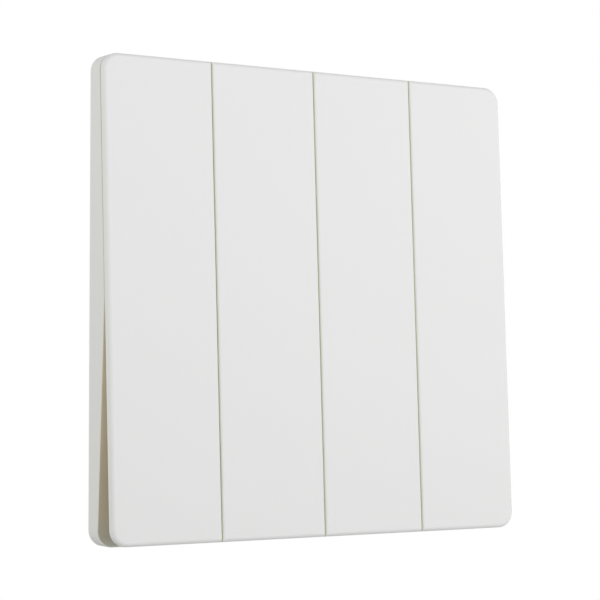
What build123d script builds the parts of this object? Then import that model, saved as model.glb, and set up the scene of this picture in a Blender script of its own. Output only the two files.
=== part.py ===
from build123d import *
import math
import os

os.makedirs("parts", exist_ok=True)

# Four-gang light switch, all sizes in millimetres.
# X runs to the right, Y into the wall and Z up. The wall is the plane Y = 0,
# and the origin lies midway between the two fixing holes.

# Front
GANGS = 4
PLATE_SIZE = 86.0
CORNER_RADIUS = 3.0
RIDGE_DEPTH = 5.6
RIDGE_CLEARANCE = 0.4
EDGE_CLEARANCE = 0.4
FRAME_EDGE_ROUND = 0.25
ROCKER_TILT = 3.0
ROCKER_GAP = 0.24
ROCKER_INSET = 0.2
ROCKER_EDGE = 1.4
ROCKER_SKIN = 1.1
ROCKER_RIM = 1.6
ROCKER_ROUND = 0.6
SEAM_ROUND = 0.15

# Frame
FRAME_WALL = 1.8
FIXING_SPACING = 60.3
FIXING_HOLE_RADIUS = 2.0
FIXING_HEAD_RADIUS = 3.5
FIXING_LAND = 2.9
BOSS_WALL = 0.8
LOCATING_RIM = 1.2
LOCATING_CLEARANCE = 0.15
RIB_THICKNESS = 1.2
RIB_SETBACK = 0.6

# Pivot of the rockers
PIVOT_DEPTH = 2.1
TRUNNION_RADIUS = 1.1
RUNNING_CLEARANCE = 0.06
SIDE_CLEARANCE = 0.15
WINDOW_CLEARANCE = 0.35
FIT_CLEARANCE = 0.05
TONGUE_WIDTH = 2.15
TONGUE_HALF_HEIGHT = 2.6
TONGUE_TIP_CLEARANCE = 0.3
TONGUE_ROOT = 0.8
CRANK_CLEARANCE = 0.35
PRONG_THICKNESS = 1.2
EAR_WALL = 2.1
PIN_RADIUS = 1.0
HOOK_WALL = 1.0
HOOK_MOUTH = 1.5
POST_THICKNESS = 1.4

# Housing
HOUSING_HEIGHT = 52.0
HOUSING_CLEARANCE = 0.3
HOUSING_CORNER = 1.5
HOUSING_EDGE_ROUND = 0.6
OUTER_WALL = 1.4
END_WALL = 1.6
REAR_WALL = 1.6
CELL_WIDTH = 10.4
MECHANISM_HEIGHT = 24.0
POCKET_WALL = 3.0
LEDGE_WALL = 1.6
SCREW_BOSS_RADIUS = 2.9
SCREW_BOSS_DEPTH = 11.0
HOUSING_SCREW_RADIUS = 1.35
HOUSING_SCREW_HEAD = 2.7
HOUSING_SCREW_LENGTH = 9.5
HOUSING_SCREW_SINK = 0.25
RECESS_DEPTH = 0.9
RECESS_REACH = 1.4
RECESS_WIDTH = 0.6

# Switching mechanism
HUB_START = 0.3
HUB_LENGTH = 4.2
HUB_SHOULDER = 0.4
TUBE_RADIUS = 3.2
TUBE_BORE = 2.1
TUBE_LENGTH = 14.0
SPRING_SEAT = 2.0
SPRING_LENGTH = 6.6
SPRING_RADIUS = 1.6
SPRING_WIRE = 0.22
SPRING_TURNS = 6.5
PLUNGER_LENGTH = 7.8
PLUNGER_STEM_RADIUS = 1.0
PLUNGER_STEM_LENGTH = 3.4
TIP_NECK = 2.4
TIP_RADIUS = 1.2
TIP_CLEARANCE = 0.03
LEVER_TILT = 10.0
LEVER_THICKNESS = 0.8
LEVER_WIDTH = 5.2
LEVER_REAR = 0.3
LEVER_CORNER = 1.0
FULCRUM_RADIUS = 0.6
FULCRUM_WIDTH = 5.0
CONTACT_ARM = 7.0
CONTACT_RADIUS = 1.4
LEVER_END = 0.3
MOVING_CONTACT = 0.7
FIXED_CONTACT = 0.4
CONTACT_CLEARANCE = 0.05

# Terminals
STRIP_THICKNESS = 0.8
STRIP_WIDTH = 3.6
STRIP_TAB = 1.2
STRIP_HEAD = 3.0
TERMINAL_WIDTH = 6.4
TERMINAL_HEIGHT = 8.2
TERMINAL_DEPTH = 9.4
TERMINAL_SINK = 0.6
TERMINAL_CORNER = 0.5
WIRE_RADIUS = 1.8
WIRE_INSET = 3.6
PINCH_RADIUS = 1.65
PINCH_HEAD_RADIUS = 2.7
PINCH_HEAD = 2.0
PINCH_HEAD_ROUND = 0.5
PINCH_SLOT_WIDTH = 0.8
PINCH_SLOT_DEPTH = 0.9
PINCH_CLEARANCE = 0.2

# Values that follow from the sizes above
HALF = PLATE_SIZE / 2
BEYOND = PLATE_SIZE / 4  # cutting bodies run this far past what they cut
NEAR = 0.01  # edges are picked by their place to within this
GANG_PITCH = PLATE_SIZE / GANGS
PIVOT_Y = -PIVOT_DEPTH
TILT = math.radians(ROCKER_TILT)
ROOF = math.tan(TILT) - (RIDGE_CLEARANCE - EDGE_CLEARANCE) / HALF
ROCKER_REAR = RIDGE_DEPTH + RIDGE_CLEARANCE - PIVOT_DEPTH
ROCKER_FRONT = ROCKER_REAR + ROCKER_EDGE
ROCKER_END = HALF - ROCKER_INSET
BOSS_RADIUS = FIXING_HEAD_RADIUS + BOSS_WALL
HOUSING_HALF = FIXING_SPACING / 2 - BOSS_RADIUS - HOUSING_CLEARANCE
HOUSING_TOP = HOUSING_HEIGHT / 2
OUTER_CELL = HOUSING_HALF - OUTER_WALL - CELL_WIDTH / 2
CELL_PITCH = 2 * OUTER_CELL / (GANGS - 1)
HUB_HALF = CELL_WIDTH / 2 - SIDE_CLEARANCE
ROCKER_INNER_EDGE = GANG_PITCH + ROCKER_GAP / 2
TONGUE_OFFSET = HUB_HALF - TONGUE_WIDTH / 2
OUTER_TONGUE = ROCKER_INNER_EDGE + 2 * FIT_CLEARANCE + TONGUE_WIDTH / 2
TONGUE_REACH = ROCKER_REAR - TONGUE_TIP_CLEARANCE
PRONG_OUTER = TONGUE_HALF_HEIGHT + FIT_CLEARANCE + PRONG_THICKNESS
EAR_FRONT = PIVOT_Y - TRUNNION_RADIUS
CHANNEL_FLOOR = EAR_FRONT - 2 * FIT_CLEARANCE
SEAT_Y = PIVOT_Y - SIDE_CLEARANCE
EAR_HALF = TRUNNION_RADIUS + EAR_WALL
HOOK_OUTER = PIN_RADIUS + RUNNING_CLEARANCE + HOOK_WALL
HOOK_START = FIXING_SPACING / 2 + BOSS_RADIUS + POST_THICKNESS
HOOK_END = HALF - FRAME_WALL
HOOK_CENTRE = (HOOK_START + HOOK_END) / 2
HOOK_WIDTH = HOOK_END - HOOK_START - 2 * WINDOW_CLEARANCE
SWING = math.sin(TILT) * (ROCKER_REAR + ROCKER_EDGE)

PLUNGER_START = SPRING_SEAT + SPRING_LENGTH
NECK_START = PLUNGER_START + PLUNGER_LENGTH
TIP_REACH = NECK_START + TIP_NECK
BETA = math.radians(LEVER_TILT)
LEVER_HALF = CONTACT_ARM + CONTACT_RADIUS + LEVER_END
FULCRUM_Y = PIVOT_Y + TIP_REACH + TIP_RADIUS + LEVER_REAR + LEVER_THICKNESS + TIP_CLEARANCE
CONTACT_EDGE = CONTACT_ARM + CONTACT_RADIUS
FIXED_FACE_Y = (
    FULCRUM_Y
    + (MOVING_CONTACT - LEVER_REAR) * math.cos(BETA)
    + CONTACT_EDGE * math.sin(BETA)
    + CONTACT_CLEARANCE
)
STOP_FACE_Y = (
    FULCRUM_Y - LEVER_REAR / math.cos(BETA) + CONTACT_EDGE * math.tan(BETA) + CONTACT_CLEARANCE
)
STRIP_FRONT = FIXED_FACE_Y + FIXED_CONTACT
CELL_BACK = STRIP_FRONT + STRIP_THICKNESS
HOUSING_REAR = CELL_BACK + REAR_WALL
TERMINAL_Z = MECHANISM_HEIGHT / 2 + POCKET_WALL
TERMINAL_TOP = TERMINAL_Z + TERMINAL_HEIGHT
TERMINAL_REAR = CELL_BACK + TERMINAL_SINK
TERMINAL_FRONT = TERMINAL_REAR - TERMINAL_DEPTH
WIRE_Z = TERMINAL_Z + WIRE_INSET
SCREW_X = HOUSING_HALF - OUTER_WALL / 2 - SCREW_BOSS_RADIUS
SCREW_Z = HOUSING_TOP - END_WALL / 2 - SCREW_BOSS_RADIUS
SCREW_HEAD_Y = -(RIDGE_DEPTH - SCREW_Z * ROOF) + HOUSING_SCREW_SINK
SCREW_CONE = HOUSING_SCREW_HEAD - HOUSING_SCREW_RADIUS

CELLS = [(gang - (GANGS - 1) / 2) * CELL_PITCH for gang in range(GANGS)]
SIDES = [-1, -1, 1, 1]
OUTER_GANGS = (0, GANGS - 1)


# Simple bodies


def block(x0, x1, y0, y1, z0, z1):
    """Box between two corners."""
    centre = Pos((x0 + x1) / 2, (y0 + y1) / 2, (z0 + z1) / 2)
    return centre * Box(abs(x1 - x0), abs(y1 - y0), abs(z1 - z0))


def rod_x(radius, x0, x1, y, z):
    """Round bar along X."""
    return Pos((x0 + x1) / 2, y, z) * Rot(0, 90, 0) * Cylinder(radius, abs(x1 - x0))


def rod_y(radius, y0, y1, x, z):
    """Round bar along Y."""
    return Pos(x, (y0 + y1) / 2, z) * Rot(90, 0, 0) * Cylinder(radius, abs(y1 - y0))


def rod_z(radius, z0, z1, x, y):
    """Round bar along Z."""
    return Pos(x, y, (z0 + z1) / 2) * Cylinder(radius, abs(z1 - z0))


def cone_y(radius0, radius1, y0, y1, x, z):
    """Cone along Y, from radius0 at y0 to radius1 at the larger y1."""
    return Pos(x, (y0 + y1) / 2, z) * Rot(-90, 0, 0) * Cone(radius0, radius1, y1 - y0)


def rounded_prism(width, height, radius, depth):
    """Square with round corners on the wall plane, raised towards the room."""
    return extrude(Plane.XZ * RectangleRounded(width, height, radius), depth)


def roof_prism(ridge):
    """Everything between the wall and a shallow roof with its ridge along X at mid height."""
    reach = HALF + BEYOND
    eave = ridge - reach * ROOF
    points = [
        (-reach, 0, -reach),
        (-reach, -eave, -reach),
        (-reach, -ridge, 0),
        (-reach, -eave, reach),
        (-reach, 0, reach),
    ]
    return extrude(make_face(Polyline(points, close=True)), 2 * reach, dir=(1, 0, 0))


def tongues(gang):
    """Spans along X of this gang's tongues, as pairs of root centre and tip centre.

    An inner gang has two, in line with the ends of its hub. An outer gang has one, whose tip
    lies just inside its rocker and whose root is at the outer end of its hub.
    """
    outward = CELLS[gang] + SIDES[gang] * TONGUE_OFFSET
    if gang in OUTER_GANGS:
        return [(outward, SIDES[gang] * OUTER_TONGUE)]
    inward = CELLS[gang] - SIDES[gang] * TONGUE_OFFSET
    return [(outward, outward), (inward, inward)]


def at_rest(shape):
    """Carries a piece from the pivot's own frame to its place, with the rocker's upper half pressed in."""
    return Pos(0, PIVOT_Y, 0) * Rot(-ROCKER_TILT, 0, 0) * shape


# Frame


def frame_shell():
    """Hollow plate with a roof-shaped front and rounded front edges."""
    depth = RIDGE_DEPTH + BEYOND
    outer = rounded_prism(PLATE_SIZE, PLATE_SIZE, CORNER_RADIUS, depth) & roof_prism(RIDGE_DEPTH)
    front_edges = [
        edge
        for edge in outer.edges()
        if all(vertex.Y < -1 for vertex in edge.vertices()) and abs(edge.center().Z) > NEAR
    ]
    rounded = fillet(front_edges, FRAME_EDGE_ROUND)
    inner = PLATE_SIZE - 2 * FRAME_WALL
    hollow = rounded_prism(inner, inner, CORNER_RADIUS - FRAME_WALL, depth)
    return rounded, rounded - (hollow & roof_prism(RIDGE_DEPTH - FRAME_WALL))


def frame_stiffening(solid_front):
    """Seat for the housing, the rim that locates it, and ribs out to the side walls."""
    inner_x = HOUSING_HALF + LOCATING_CLEARANCE
    inner_z = HOUSING_TOP + LOCATING_CLEARANCE
    outer_x = inner_x + LOCATING_RIM
    outer_z = inner_z + LOCATING_RIM
    added = block(-outer_x, outer_x, -RIDGE_DEPTH, -RIB_SETBACK, -outer_z, outer_z)
    added -= block(-inner_x, inner_x, SEAT_Y, 1, -inner_z, inner_z)
    wall = HALF - FRAME_WALL / 2
    half_rib = RIB_THICKNESS / 2
    for side in (-1, 1):
        for x in CELLS:
            added += block(
                x - half_rib, x + half_rib, -RIDGE_DEPTH, -RIB_SETBACK, side * outer_z, side * wall
            )
        for z in (-HALF / 3, HALF / 3):
            added += block(
                side * outer_x, side * wall, -RIDGE_DEPTH, -RIB_SETBACK, z - half_rib, z + half_rib
            )
        boss_x = side * FIXING_SPACING / 2
        added += rod_y(BOSS_RADIUS, -RIDGE_DEPTH, 0, boss_x, 0)
        post_x = boss_x + side * BOSS_RADIUS
        added += block(
            boss_x, post_x + side * POST_THICKNESS, -RIDGE_DEPTH, -RIB_SETBACK, -HOOK_OUTER, HOOK_OUTER
        )
    added -= block(-inner_x, inner_x, SEAT_Y, 1, -inner_z, inner_z)
    return added & solid_front


def frame_openings():
    """Everything cut from the frame: windows, bearing channel, fixing holes and screw seats."""
    window_z = PRONG_OUTER + SWING + WINDOW_CLEARANCE / 2
    channel_z = EAR_HALF + WINDOW_CLEARANCE
    channel_x = HOUSING_HALF + LOCATING_CLEARANCE
    cuts = [block(-channel_x, channel_x, CHANNEL_FLOOR, 0, -channel_z, channel_z)]
    half_window = TONGUE_WIDTH / 2 + WINDOW_CLEARANCE
    for gang in range(GANGS):
        for root, tip in tongues(gang):
            x0, x1 = min(root, tip) - half_window, max(root, tip) + half_window
            cuts.append(block(x0, x1, -BEYOND, 0, -window_z, window_z))
    hook_z = HOOK_OUTER + WINDOW_CLEARANCE + SWING / 2
    for side in (-1, 1):
        x = side * FIXING_SPACING / 2
        cuts.append(rod_y(FIXING_HOLE_RADIUS, -BEYOND, 1, x, 0))
        cuts.append(rod_y(FIXING_HEAD_RADIUS, -BEYOND, -FIXING_LAND, x, 0))
        cuts.append(block(side * HOOK_START, side * HOOK_END, -BEYOND, -FRAME_WALL, -hook_z, hook_z))
        for up in (-1, 1):
            x, z = side * SCREW_X, up * SCREW_Z
            hole = HOUSING_SCREW_RADIUS + 2 * FIT_CLEARANCE
            head = HOUSING_SCREW_HEAD + FIT_CLEARANCE
            floor = SCREW_HEAD_Y + SCREW_CONE
            cuts.append(rod_y(hole, -BEYOND, 0, x, z))
            cuts.append(rod_y(head, -BEYOND, SCREW_HEAD_Y, x, z))
            cuts.append(cone_y(head, HOUSING_SCREW_RADIUS + FIT_CLEARANCE, SCREW_HEAD_Y, floor, x, z))
    return cuts


def front_frame():
    """The square moulding on the wall, with the outer rockers' pivot pins."""
    solid_front, frame = frame_shell()
    frame += frame_stiffening(solid_front)
    for cut in frame_openings():
        frame -= cut
    for side in (-1, 1):
        inner = HOOK_START - POST_THICKNESS / 2
        frame += rod_x(PIN_RADIUS, side * inner, side * (HOOK_END + FRAME_WALL / 2), PIVOT_Y, 0)
    return frame


# Rockers


def rocker_plate(left, right, left_is_seam, right_is_seam):
    """Thin key with rounded front edges, sharper along a seam and hollowed a little behind."""
    plate = block(left, right, -ROCKER_FRONT, -ROCKER_REAR, -ROCKER_END, ROCKER_END)
    seams = [x for x, seam in ((left, left_is_seam), (right, right_is_seam)) if seam]
    free = [x for x, seam in ((left, left_is_seam), (right, right_is_seam)) if not seam]
    corners = [
        edge
        for edge in plate.edges().filter_by(Axis.Y)
        if any(abs(edge.center().X - x) < NEAR for x in free)
    ]
    if corners:
        plate = fillet(corners, CORNER_RADIUS)
    outer = [
        edge
        for edge in plate.edges()
        if abs(edge.center().Y + ROCKER_FRONT) < NEAR
        and not any(abs(edge.center().X - x) < NEAR for x in seams)
    ]
    plate = fillet(outer, ROCKER_ROUND)
    for x in seams:
        chain = [
            edge
            for edge in plate.edges()
            if all(abs(vertex.X - x) < NEAR for vertex in edge.vertices())
            and edge.center().Y < -ROCKER_REAR - NEAR
        ]
        plate = fillet(chain, SEAM_ROUND)
    recess = block(
        left + ROCKER_RIM,
        right - ROCKER_RIM,
        -(ROCKER_FRONT - ROCKER_SKIN),
        0,
        -ROCKER_END + ROCKER_RIM,
        ROCKER_END - ROCKER_RIM,
    )
    return plate - recess


def rocker_fork(x):
    """Two prongs that grip a tongue of the actuator from above and below."""
    half = TONGUE_WIDTH / 2
    root = -(ROCKER_FRONT - ROCKER_SKIN / 2)
    tip = -TRUNNION_RADIUS - 2 * FIT_CLEARANCE
    fork = Part()
    for up in (-1, 1):
        inner = up * (TONGUE_HALF_HEIGHT + FIT_CLEARANCE)
        fork += block(x - half, x + half, root, tip, inner, up * PRONG_OUTER)
    return fork


def rocker_hook(side):
    """Open clip on an outer rocker that snaps over the frame's pivot pin."""
    x = side * HOOK_CENTRE
    x0, x1 = x - HOOK_WIDTH / 2, x + HOOK_WIDTH / 2
    root = -(ROCKER_FRONT - ROCKER_SKIN / 2)
    hook = rod_x(HOOK_OUTER, x0, x1, 0, 0)
    hook += block(x0, x1, root, 0, -HOOK_OUTER, HOOK_OUTER)
    hook -= rod_x(PIN_RADIUS + RUNNING_CLEARANCE, x0 - 1, x1 + 1, 0, 0)
    return hook - block(x0 - 1, x1 + 1, 0, 10, -HOOK_MOUTH / 2, HOOK_MOUTH / 2)


def rocker(gang):
    """One key with the grips behind it, in its place."""
    left = -HALF + gang * GANG_PITCH
    right = left + GANG_PITCH
    first, last = gang == 0, gang == GANGS - 1
    left += 0 if first else ROCKER_GAP / 2
    right -= 0 if last else ROCKER_GAP / 2
    key = rocker_plate(left, right, not first, not last)
    for _, tip in tongues(gang):
        key += rocker_fork(tip)
    if gang in OUTER_GANGS:
        key += rocker_hook(SIDES[gang])
    return at_rest(key)


# Moving parts in a cell


def actuator(gang):
    """Moulding on two trunnions, with tongues to the front and a tube to the rear."""
    x = CELLS[gang]
    end = CELL_PITCH / 2 - SIDE_CLEARANCE
    body = rod_x(TRUNNION_RADIUS, x - end, x + end, 0, 0)
    shoulder = HUB_HALF - HUB_SHOULDER
    hub_end = HUB_START + HUB_LENGTH
    body += block(x - shoulder, x + shoulder, HUB_START, hub_end, -TUBE_RADIUS, TUBE_RADIUS)
    half = TONGUE_WIDTH / 2
    crank = -TRUNNION_RADIUS - CRANK_CLEARANCE
    high = TONGUE_HALF_HEIGHT
    for root, tip in tongues(gang):
        body += block(root - half, root + half, -TONGUE_REACH, TONGUE_ROOT, -high, high)
        x0, x1 = min(root, tip) - half, max(root, tip) + half
        body += block(x0, x1, -TONGUE_REACH, crank, -high, high)
    body += rod_y(TUBE_RADIUS, SPRING_SEAT, TUBE_LENGTH, x, 0)
    body -= rod_y(TUBE_BORE, SPRING_SEAT, TUBE_LENGTH + 1, x, 0)
    return at_rest(body)


def plunger(gang):
    """Round-nosed pin that slides in the actuator's tube and presses on the lever."""
    x = CELLS[gang]
    body = rod_y(TUBE_BORE - RUNNING_CLEARANCE, PLUNGER_START, NECK_START, x, 0)
    body += rod_y(PLUNGER_STEM_RADIUS, PLUNGER_START - PLUNGER_STEM_LENGTH, PLUNGER_START, x, 0)
    body += rod_y(TIP_RADIUS, NECK_START, TIP_REACH, x, 0)
    body += Pos(x, TIP_REACH, 0) * Sphere(TIP_RADIUS)
    return at_rest(body)


def spring(gang):
    """Coil between the bottom of the tube and the plunger's shoulder."""
    height = SPRING_LENGTH - 2 * SPRING_WIRE - 2 * FIT_CLEARANCE
    path = Helix(height / SPRING_TURNS, height, SPRING_RADIUS)
    section = Plane(path @ 0, z_dir=path % 0) * Circle(SPRING_WIRE)
    coil = sweep(section, path=path)
    start = SPRING_SEAT + SPRING_WIRE + FIT_CLEARANCE
    return at_rest(Pos(CELLS[gang], start, 0) * Rot(-90, 0, 0) * coil)


def lever_at_rest(shape):
    """Carries a piece of the lever to its place, upper end away from its contact."""
    return Pos(0, FULCRUM_Y, 0) * Rot(LEVER_TILT, 0, 0) * shape


def contact_lever(gang):
    """See-saw strip with a half-round groove that sits on the fulcrum."""
    x = CELLS[gang]
    half = LEVER_WIDTH / 2
    front = -LEVER_REAR - LEVER_THICKNESS
    strip = block(x - half, x + half, front, -LEVER_REAR, -LEVER_HALF, LEVER_HALF)
    strip = fillet(strip.edges().filter_by(Axis.Y), LEVER_CORNER)
    strip -= rod_x(FULCRUM_RADIUS + FIT_CLEARANCE, x - half - 1, x + half + 1, 0, 0)
    return lever_at_rest(strip)


def moving_contact(gang):
    """Silver button under the lever's upper end."""
    button = rod_y(
        CONTACT_RADIUS, -LEVER_REAR, MOVING_CONTACT - LEVER_REAR, CELLS[gang], CONTACT_ARM
    )
    return lever_at_rest(button)


# Fixed parts


def housing():
    """One moulding: four cells open to the front, and a pocket for each terminal at top and bottom."""
    body = block(-HOUSING_HALF, HOUSING_HALF, SEAT_Y, HOUSING_REAR, -HOUSING_TOP, HOUSING_TOP)
    body = fillet(body.edges().filter_by(Axis.Y), HOUSING_CORNER)
    body = fillet(body.faces().sort_by(Axis.Y)[-1].edges(), HOUSING_EDGE_ROUND)
    body += block(-HOUSING_HALF, HOUSING_HALF, EAR_FRONT, SEAT_Y + 1, -EAR_HALF, EAR_HALF)
    half_cell = CELL_WIDTH / 2
    tall = HOUSING_TOP - END_WALL
    short = MECHANISM_HEIGHT / 2
    half_pocket = TERMINAL_WIDTH / 2 + 2 * FIT_CLEARANCE
    half_slot = STRIP_WIDTH / 2 + FIT_CLEARANCE
    for x in CELLS:
        body -= block(x - half_cell, x + half_cell, -BEYOND, TERMINAL_FRONT - LEDGE_WALL, -tall, tall)
        body -= block(x - half_cell, x + half_cell, -BEYOND, CELL_BACK, -short, short)
        for up in (-1, 1):
            body -= block(
                x - half_pocket,
                x + half_pocket,
                TERMINAL_FRONT,
                HOUSING_REAR + 1,
                up * TERMINAL_Z,
                up * (HOUSING_TOP + 1),
            )
            body -= block(
                x - half_slot,
                x + half_slot,
                STRIP_FRONT - FIT_CLEARANCE,
                CELL_BACK,
                up * (short - 1),
                up * (TERMINAL_Z + 1),
            )
    for side in (-1, 1):
        for up in (-1, 1):
            body += rod_y(
                SCREW_BOSS_RADIUS, SEAT_Y, SEAT_Y + SCREW_BOSS_DEPTH, side * SCREW_X, up * SCREW_Z
            )
            body -= rod_y(
                HOUSING_SCREW_RADIUS + FIT_CLEARANCE,
                SEAT_Y - 1,
                SEAT_Y + SCREW_BOSS_DEPTH - 1,
                side * SCREW_X,
                up * SCREW_Z,
            )
    slot = TRUNNION_RADIUS + FIT_CLEARANCE
    end = (GANGS / 2) * CELL_PITCH
    body -= rod_x(slot, -end, end, PIVOT_Y, 0)
    body -= block(-end, end, -BEYOND, PIVOT_Y, -slot, slot)
    return body


def common_strip(gang):
    """Brass strip with the lever's fulcrum, a stop for its lower end and a tab in the lower terminal."""
    x = CELLS[gang]
    half = STRIP_WIDTH / 2
    strip = block(x - half, x + half, STRIP_FRONT, CELL_BACK, -(TERMINAL_Z + STRIP_TAB), STRIP_HEAD)
    wide = FULCRUM_WIDTH / 2
    strip += block(x - wide, x + wide, FULCRUM_Y, CELL_BACK, -FULCRUM_RADIUS, FULCRUM_RADIUS)
    strip += rod_x(FULCRUM_RADIUS, x - wide, x + wide, FULCRUM_Y, 0)
    strip += rod_y(CONTACT_RADIUS, STOP_FACE_Y, CELL_BACK, x, -CONTACT_ARM)
    return strip


def line_strip(gang):
    """Brass strip from under the fixed contact up to a tab in the upper terminal."""
    x = CELLS[gang]
    half = STRIP_WIDTH / 2
    lower = CONTACT_ARM - CONTACT_RADIUS - LEVER_END
    return block(x - half, x + half, STRIP_FRONT, CELL_BACK, lower, TERMINAL_Z + STRIP_TAB)


def fixed_contact(gang):
    """Silver button on the line strip."""
    return rod_y(CONTACT_RADIUS, FIXED_FACE_Y, STRIP_FRONT, CELLS[gang], CONTACT_ARM)


def terminal(gang, up):
    """Brass block with a wire hole from the rear and a threaded hole for the pinch screw."""
    x = CELLS[gang]
    half = TERMINAL_WIDTH / 2
    body = block(
        x - half, x + half, TERMINAL_FRONT, TERMINAL_REAR, up * TERMINAL_Z, up * TERMINAL_TOP
    )
    body = fillet(body.edges().filter_by(Axis.Y), TERMINAL_CORNER)
    body -= rod_y(WIRE_RADIUS, TERMINAL_FRONT - 1, TERMINAL_REAR + 1, x, up * WIRE_Z)
    middle = (TERMINAL_FRONT + TERMINAL_REAR) / 2
    body -= rod_z(PINCH_RADIUS + FIT_CLEARANCE, up * WIRE_Z, up * (TERMINAL_TOP + 1), x, middle)
    half_tab = STRIP_WIDTH / 2 + FIT_CLEARANCE
    return body - block(
        x - half_tab,
        x + half_tab,
        STRIP_FRONT - FIT_CLEARANCE,
        CELL_BACK + FIT_CLEARANCE,
        up * (TERMINAL_Z - 1),
        up * (TERMINAL_Z + STRIP_TAB + FIT_CLEARANCE),
    )


def terminal_screw(gang, up):
    """Slotted pinch screw, turned back so that the wire hole is free."""
    x = CELLS[gang]
    y = (TERMINAL_FRONT + TERMINAL_REAR) / 2
    tip = WIRE_Z + WIRE_RADIUS + PINCH_CLEARANCE
    seat = TERMINAL_TOP + 2 * FIT_CLEARANCE
    top = seat + PINCH_HEAD
    head = rod_z(PINCH_HEAD_RADIUS, up * seat, up * top, x, y)
    rim = [edge for edge in head.edges() if abs(edge.center().Z - up * top) < PINCH_HEAD / 4]
    head = fillet(rim, PINCH_HEAD_ROUND)
    screw = head + rod_z(PINCH_RADIUS, up * tip, up * (seat + PINCH_HEAD / 4), x, y)
    half = PINCH_SLOT_WIDTH / 2
    floor = up * (top - PINCH_SLOT_DEPTH)
    return screw - block(x - BEYOND, x + BEYOND, y - half, y + half, floor, up * (top + BEYOND))


def housing_screw(side, up):
    """Countersunk screw with a cross recess."""
    x, z = side * SCREW_X, up * SCREW_Z
    cone_end = SCREW_HEAD_Y + SCREW_CONE
    screw = cone_y(HOUSING_SCREW_HEAD, HOUSING_SCREW_RADIUS, SCREW_HEAD_Y, cone_end, x, z)
    shank_end = SCREW_HEAD_Y + HOUSING_SCREW_LENGTH
    screw += rod_y(HOUSING_SCREW_RADIUS, cone_end - FIT_CLEARANCE, shank_end, x, z)
    floor = SCREW_HEAD_Y + RECESS_DEPTH
    reach, half = RECESS_REACH, RECESS_WIDTH / 2
    screw -= block(x - reach, x + reach, -BEYOND, floor, z - half, z + half)
    return screw - block(x - half, x + half, -BEYOND, floor, z - reach, z + reach)


# Write every node


def save(name, shape):
    """Writes one node."""
    export_step(shape, f"parts/{name}.step")


def group(shapes):
    """Several separate solids as one node."""
    return Compound([solid for shape in shapes for solid in shape.solids()])


save("front_frame", front_frame())
save("housing", housing())
save("housing_screws", group([housing_screw(side, up) for side in (-1, 1) for up in (-1, 1)]))
save("terminal_screws", group([terminal_screw(gang, up) for gang in range(GANGS) for up in (-1, 1)]))
save("fixed_contacts", group([fixed_contact(gang) for gang in range(GANGS)]))
for gang in range(GANGS):
    number = gang + 1
    save(f"rocker_{number}", rocker(gang))
    save(f"actuator_{number}", actuator(gang))
    save(f"plunger_{number}", plunger(gang))
    save(f"spring_{number}", spring(gang))
    save(f"contact_lever_{number}", contact_lever(gang))
    save(f"moving_contact_{number}", moving_contact(gang))
    save(f"common_strip_{number}", common_strip(gang))
    save(f"line_strip_{number}", line_strip(gang))
    save(f"line_terminal_{number}", terminal(gang, 1))
    save(f"common_terminal_{number}", terminal(gang, -1))
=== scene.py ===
"""Looks of a four-gang light switch, built around its packed construction.

The construction gives every piece its place. This script makes the keys, coil springs and screws anew
as finished surfaces, gives every surface its material, and sets up the camera, a pale floor and soft
studio light. Sizes of pieces are in millimetres: X to the right, Y into the wall, Z up.
"""

import logging
import math
from dataclasses import dataclass, field
from enum import Enum

import bpy
import numpy as np
from mathutils import Matrix, Vector


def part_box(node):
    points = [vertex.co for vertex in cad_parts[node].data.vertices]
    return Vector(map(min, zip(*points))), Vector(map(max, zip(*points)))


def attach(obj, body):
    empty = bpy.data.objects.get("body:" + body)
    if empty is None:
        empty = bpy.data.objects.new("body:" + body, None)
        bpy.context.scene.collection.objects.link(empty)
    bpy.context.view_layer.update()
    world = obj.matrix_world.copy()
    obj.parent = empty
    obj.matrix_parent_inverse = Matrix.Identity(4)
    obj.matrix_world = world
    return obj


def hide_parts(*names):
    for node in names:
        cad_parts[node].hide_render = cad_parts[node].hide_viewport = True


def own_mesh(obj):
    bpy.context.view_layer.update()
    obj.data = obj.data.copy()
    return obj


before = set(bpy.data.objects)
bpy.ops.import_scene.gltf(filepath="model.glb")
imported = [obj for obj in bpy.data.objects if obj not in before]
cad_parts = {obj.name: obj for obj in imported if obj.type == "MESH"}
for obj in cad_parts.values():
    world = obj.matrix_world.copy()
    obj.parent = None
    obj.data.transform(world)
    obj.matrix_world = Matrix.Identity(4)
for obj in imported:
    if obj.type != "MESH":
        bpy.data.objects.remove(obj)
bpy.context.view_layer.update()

LOG = logging.getLogger("light_switch")
MM = 0.001
GANGS = 4
PITCH = 21.5  # from one key to the next
CELL_PITCH = 12.6333  # from one mechanism to the next
PIVOT_DEPTH = 2.1  # pivot of the keys, in front of the wall
TILT = math.radians(3.0)  # every key rests with its upper half pressed in
WELD = 1e-5  # points that are this near become one
NOISE_SPAN = (0.3, 0.7)  # values that a noise texture mostly takes


# Small helpers


def linear(code: str) -> tuple[float, float, float, float]:
    """Turns an sRGB colour into the linear values that a shader takes.

    Args:
        code: Colour as a hash sign and six hex digits.

    Returns:
        Linear red, green and blue, and an alpha of 1.
    """
    share = np.array([int(code[i : i + 2], 16) for i in (1, 3, 5)]) / 255
    value = np.where(share <= 0.04045, share / 12.92, ((share + 0.055) / 1.055) ** 2.4)
    return (*map(float, value), 1.0)


def per_metre(size_mm: float) -> float:
    """Texture scale at which one feature of a pattern is that many millimetres wide."""
    return 1 / (size_mm * MM)


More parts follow.
